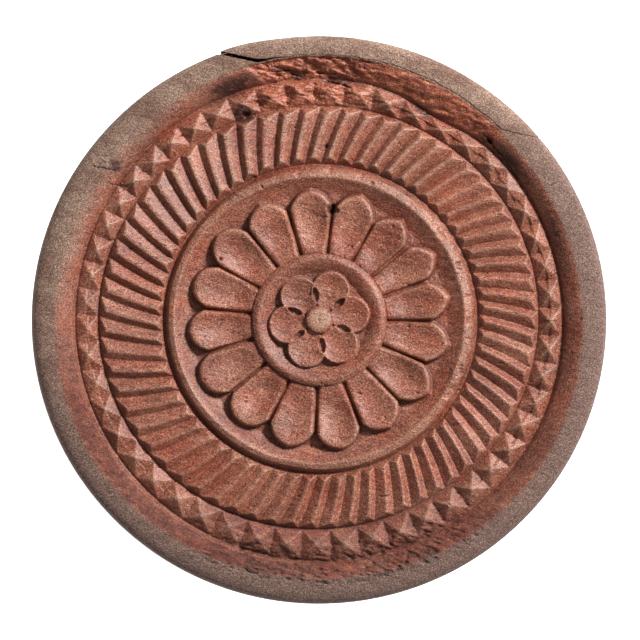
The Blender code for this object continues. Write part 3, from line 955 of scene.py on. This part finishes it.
def make_peg():
    """The whittled peg: eight long facets with shallow knife scoops, and rough ends."""
    count = 96
    angle = even_turn(count)
    corner = PEG_THICKNESS / 2 / math.cos(math.pi / 8)
    facet = (angle % (math.pi / 4) + math.pi / 8) % (math.pi / 4) - math.pi / 8
    octagon = np.minimum(math.cos(math.pi / 8) / np.cos(facet), 0.975)
    thin, thick = PEG_SPAN
    surface = Surface()
    rings = []
    for along in np.arange(thin, thick + 0.01, 0.25):
        share = (along - thin) / (thick - thin)
        radius = corner * mix(0.86, 1.0, share) * octagon
        end = min(along - thin, thick - along)
        radius = radius - 0.7 * (1 - min(end / 0.9, 1)) ** 2
        scoops = layered_noise(np.full(count, along), np.round(angle / (math.pi / 4)) * 7.3, 5.0, 1.0, 71)
        fibres = layered_noise(np.full(count, along), np.degrees(angle), 9.0, 6.0, 72)
        radius = radius - 0.14 * np.abs(scoops) - 0.05 * np.abs(fibres)
        side, up = radius * np.cos(angle), radius * np.sin(angle)
        points = np.stack([np.full(count, along), side, HEIGHT - PEG_DEPTH + up], 1)
        # The knife scoops are painted a little dark: grime and painted shade.
        rings.append(surface.add_points(points, ring_fields(angle, hollow=0.3 * np.abs(scoops))))
    for ring, following in zip(rings, rings[1:], strict=False):
        surface.bridge(ring, following)
    for ring, along, flip in ((rings[0], thin, False), (rings[-1], thick, True)):
        point = surface.add_points(np.array([[along, 0, HEIGHT - PEG_DEPTH]]), ring_fields(np.zeros(1)))
        surface.close(ring, point[0], flip)
    return surface.make("whittled_peg")


# Materials.


class Shader:
    """Builds one material's nodes. Its methods return the sockets that they make."""

    def __init__(self, name):
        self.material = bpy.data.materials.new(name)
        self.material.use_nodes = True
        self.tree = self.material.node_tree
        self.surface = self.tree.nodes["Principled BSDF"]

    def node(self, kind, settings, inputs):
        made = self.tree.nodes.new(kind)
        for key, value in settings.items():
            setattr(made, key, value)
        for key, value in inputs.items():
            if isinstance(value, bpy.types.NodeSocket):
                self.tree.links.new(value, made.inputs[key])
            else:
                made.inputs[key].default_value = value
        return made

    def place(self, along, across, upright):
        """Object coordinates, counted in features per millimetre on each axis."""
        source = self.node("ShaderNodeTexCoord", {}, {}).outputs["Object"]
        turned = self.node("ShaderNodeMapping", {}, {"Vector": source, "Rotation": (0, 0, -GRAIN_TURN)})
        inputs = {"Vector": turned.outputs["Vector"], "Scale": (along / MM, across / MM, upright / MM)}
        return self.node("ShaderNodeMapping", {}, inputs).outputs["Vector"]

    def noise(self, place, detail=3.0, roughness=0.55, distortion=0.0):
        inputs = {"Vector": place, "Scale": 1.0, "Detail": detail}
        inputs.update({"Roughness": roughness, "Distortion": distortion})
        return self.node("ShaderNodeTexNoise", {}, inputs).outputs["Fac"]

    def field(self, name):
        return self.node("ShaderNodeAttribute", {"attribute_name": name}, {}).outputs["Fac"]

    def sum(self, first, second, scale=1.0):
        """first + second * scale."""
        inputs = {0: second, 1: scale, 2: first}
        return self.node("ShaderNodeMath", {"operation": "MULTIPLY_ADD"}, inputs).outputs[0]

    def times(self, first, second):
        return self.node("ShaderNodeMath", {"operation": "MULTIPLY"}, {0: first, 1: second}).outputs[0]

    def step(self, value, low, high, start=0.0, end=1.0):
        inputs = {"Value": value, "From Min": low, "From Max": high, "To Min": start, "To Max": end}
        return self.node("ShaderNodeMapRange", {"clamp": True}, inputs).outputs["Result"]

    def ramp(self, value, stops):
        made = self.node("ShaderNodeValToRGB", {}, {"Fac": value})
        elements = made.color_ramp.elements
        while len(elements) < len(stops):
            elements.new(0.5)
        for element, (position, colour) in zip(elements, stops, strict=True):
            element.position = position
            element.color = (*colour, 1.0)
        return made.outputs["Color"]

    def blend(self, share, first, second, mode="MIX"):
        """Mixes two colours, each a socket or a tuple."""
        made = self.node("ShaderNodeMix", {"data_type": "RGBA", "blend_type": mode}, {"Factor": share})
        for socket, value in ((made.inputs[6], first), (made.inputs[7], second)):
            if isinstance(value, bpy.types.NodeSocket):
                self.tree.links.new(value, socket)
            else:
                socket.default_value = (*value, 1.0)
        return made.outputs[2]

    def finish(self, colour, roughness, height, distance, specular=0.3):
        bump_inputs = {"Height": height, "Distance": distance * MM, "Strength": 1.0}
        normal = self.node("ShaderNodeBump", {}, bump_inputs).outputs["Normal"]
        self.tree.links.new(colour, self.surface.inputs["Base Color"])
        self.tree.links.new(roughness, self.surface.inputs["Roughness"])
        self.tree.links.new(normal, self.surface.inputs["Normal"])
        self.surface.inputs["Specular IOR Level"].default_value = specular
        return self.material


def carved_wood():
    """Red-brown wood: dark in the hollows (grime and painted shade), pale on the crests (wear and painted highlight),
    grey where it has weathered.
    """
    shader = Shader("carved_wood")
    fibres = shader.noise(shader.place(0.22, 1.3, 1.3), detail=4)
    blotches = shader.noise(shader.place(0.07, 0.13, 0.13))
    specks = shader.noise(shader.place(2.6, 3.8, 3.8), detail=2)
    pores = shader.step(shader.noise(shader.place(0.9, 4.5, 4.5), detail=1), 0.66, 0.74)
    tone = shader.sum(shader.sum(shader.times(fibres, 0.3), blotches, 0.25), specks, 0.6)
    stops = (
        (0.45, (0.104, 0.031, 0.018)),
        (0.57, (0.238, 0.078, 0.045)),
        (0.71, (0.400, 0.178, 0.113)),
    )
    colour = shader.ramp(tone, stops)
    redness = shader.noise(shader.place(0.09, 0.16, 0.16), detail=4, roughness=0.65)
    red = shader.blend(1.0, colour, (1.0, 0.72, 0.62), "MULTIPLY")
    colour = shader.blend(shader.step(redness, 0.45, 0.65, 0, 0.9), colour, red)
    hollow = shader.field("hollow")
    # Pale on the crests: wear and painted highlight.
    colour = shader.blend(shader.step(hollow, -0.08, -0.9, 0, 0.55), colour, (0.47, 0.30, 0.21))
    # Dark in the hollows: grime and painted shade in the recesses.
    deep = shader.blend(1.0, colour, (0.42, 0.28, 0.24), "MULTIPLY")
    colour = shader.blend(shader.step(hollow, 0.1, 0.95, 0, 0.75), colour, deep)
    sand = shader.noise(shader.place(3.9, 4.4, 4.4), detail=1)
    grit = shader.blend(shader.step(sand, 0.32, 0.68), (0.42, 0.37, 0.35), (1.62, 1.63, 1.62))
    torn_tone = shader.ramp(
        shader.sum(shader.times(fibres, 0.6), specks, 0.4),
        (
            (0.38, (0.12, 0.028, 0.014)),
            (0.50, (0.34, 0.085, 0.040)),
            (0.64, (0.60, 0.240, 0.130)),
        ),
    )
    colour = shader.blend(shader.step(shader.field("torn"), 0.1, 0.7, 0, 0.9), colour, torn_tone)
    colour = shader.blend(shader.field("weathered"), colour, weathered_grey(shader, fibres, specks))
    # Darkening from the field set on the face: grime on the bottom band, painted shade on the lower slope and cove.
    dirty = shader.blend(1.0, colour, (0.34, 0.215, 0.19), "MULTIPLY")
    patches = shader.step(shader.noise(shader.place(0.35, 0.6, 0.6), detail=5, roughness=0.7), 0.38, 0.6, 0.5, 1.0)
    colour = shader.blend(shader.times(shader.field("dirt"), patches), colour, dirty)
    colour = shader.blend(1.0, colour, grit, "MULTIPLY")
    # Darkening for stains, cracks and nicks, and painted shade in the pits and in the gap under the strip.
    stained = shader.blend(1.0, colour, (0.20, 0.14, 0.13), "MULTIPLY")
    colour = shader.blend(shader.field("stain"), colour, stained)
    colour = shader.blend(shader.times(pores, 0.6), colour, (0.07, 0.03, 0.02))
    polish = shader.step(specks, 0.3, 0.7, 0.42, 0.56)
    dusty = shader.sum(shader.field("dirt"), shader.field("weathered"))
    roughness = shader.sum(polish, dusty, 0.35)
    height = shader.sum(shader.sum(shader.times(fibres, 0.3), specks, 0.8), pores, -0.6)
    return shader.finish(colour, roughness, height, 0.14, specular=0.55)


def weathered_grey(shader, fibres, specks):
    """The grey-tan of the rim, darker where the flank is painted dark: weathering and painted shade."""
    tone = shader.sum(shader.times(specks, 0.75), fibres, 0.25)
    tan = shader.ramp(
        tone,
        (
            (0.40, (0.165, 0.096, 0.067)),
            (0.52, (0.250, 0.157, 0.112)),
            (0.64, (0.350, 0.238, 0.180)),
        ),
    )
    old = shader.ramp(
        tone,
        (
            (0.40, (0.100, 0.054, 0.042)),
            (0.52, (0.152, 0.088, 0.069)),
            (0.64, (0.220, 0.140, 0.114)),
        ),
    )
    patches = shader.noise(shader.place(0.10, 0.2, 0.2), detail=4, roughness=0.6)
    brown = shader.blend(1.0, tan, (0.58, 0.46, 0.42), "MULTIPLY")
    tan = shader.blend(shader.step(patches, 0.45, 0.62, 0, 0.8), tan, brown)
    return shader.blend(shader.field("old"), tan, old)


def plain_wood(name, dark, light, stretch, roughness):
    """Wood of one colour: fibres, a few pores, and darkening in its grooves and recesses, which is grime and painted
    shade.
    """
    shader = Shader(name)
    fine = tuple(3.2 if share == 0 else 0.14 for share in stretch)
    coarse = tuple(0.5 if share == 0 else 0.03 for share in stretch)
    fibres = shader.noise(shader.place(*fine), detail=4)
    bands = shader.noise(shader.place(*coarse), distortion=0.6)
    pores = shader.step(shader.noise(shader.place(*(value * 1.6 for value in fine)), detail=1), 0.64, 0.72)
    tone = shader.sum(shader.times(fibres, 0.5), bands, 0.5)
    colour = shader.ramp(tone, ((0.36, dark), (0.64, light)))
    # Darkens where hollow is set: grime and painted shade in the handle's grooves and the peg's knife scoops.
    dirt = shader.step(shader.field("hollow"), 0.0, 0.8, 0, 0.85)
    colour = shader.blend(dirt, colour, tuple(value * 0.3 for value in dark))
    colour = shader.blend(shader.times(pores, 0.5), colour, tuple(value * 0.35 for value in dark))
    shine = shader.step(bands, 0.35, 0.65, roughness - 0.08, roughness + 0.1)
    height = shader.sum(fibres, pores, -0.8)
    return shader.finish(colour, shine, height, 0.08, specular=0.45)


def simple_material(name, colour, roughness):
    material = bpy.data.materials.new(name)
    material.use_nodes = True
    shader = material.node_tree.nodes["Principled BSDF"]
    shader.inputs["Base Color"].default_value = (*colour, 1.0)
    shader.inputs["Roughness"].default_value = roughness
    shader.inputs["Emission Color"].default_value = (1, 1, 1, 1)
    shader.inputs["Emission Strength"].default_value = 0.85
    return material


def add_light(name, azimuth, elevation, distance, size, power):
    data = bpy.data.lights.new(name, "AREA")
    data.shape = "DISK"
    data.size = size
    data.energy = power
    light = bpy.data.objects.new(name, data)
    turn, rise = math.radians(azimuth), math.radians(elevation)
    flat = math.cos(rise)
    direction = Vector((math.cos(turn) * flat, math.sin(turn) * flat, math.sin(rise)))
    light.location = Vector((0, 0, HEIGHT * MM)) + direction * distance
    light.rotation_euler = direction.to_track_quat("Z", "Y").to_euler()
    bpy.context.scene.collection.objects.link(light)


def add_camera():
    data = bpy.data.cameras.new("camera")
    data.lens = 500
    data.sensor_width = 36
    width = 2 * RADIUS * MM * 640 / 574
    camera = bpy.data.objects.new("camera", data)
    camera.location = (0.2 * MM, 0, (HEIGHT - 11) * MM + width * data.lens / data.sensor_width)
    bpy.context.scene.collection.objects.link(camera)
    bpy.context.scene.camera = camera


def add_floor():
    bpy.ops.mesh.primitive_plane_add(size=6.0, location=(0, 0, -0.0002))
    floor = bpy.context.object
    floor.name = "floor"
    floor.data.materials.append(simple_material("floor", (0.9, 0.9, 0.89), 0.8))


def add_world():
    world = bpy.data.worlds.new("studio")
    bpy.context.scene.world = world
    world.use_nodes = True
    background = world.node_tree.nodes["Background"]
    background.inputs["Color"].default_value = (1, 1, 1, 1)
    background.inputs["Strength"].default_value = 0.24


pieces = (
    # the piece, its material, its body and the CAD node that it stands for
    (make_block(), carved_wood(), "print", "carved_block"),
    (make_strip(), None, "print", "rim_sliver"),
    (make_handle(), plain_wood("handle_wood", (0.10, 0.042, 0.024), (0.25, 0.12, 0.07), (0, 0, 1), 0.5), "print", "handle"),
    (make_peg(), plain_wood("peg_wood", (0.20, 0.11, 0.055), (0.42, 0.27, 0.15), (1, 0, 0), 0.6), "peg", "locking_peg"),
)
for piece, material, body, node in pieces:
    piece.data.materials.clear()
    piece.data.materials.append(material or pieces[0][1])
    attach(piece, body)
    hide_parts(node)
add_camera()
add_floor()
add_world()
add_light("key", 38, 38, 1.2, 0.26, 27)
bpy.context.scene.view_settings.view_transform = "Standard"
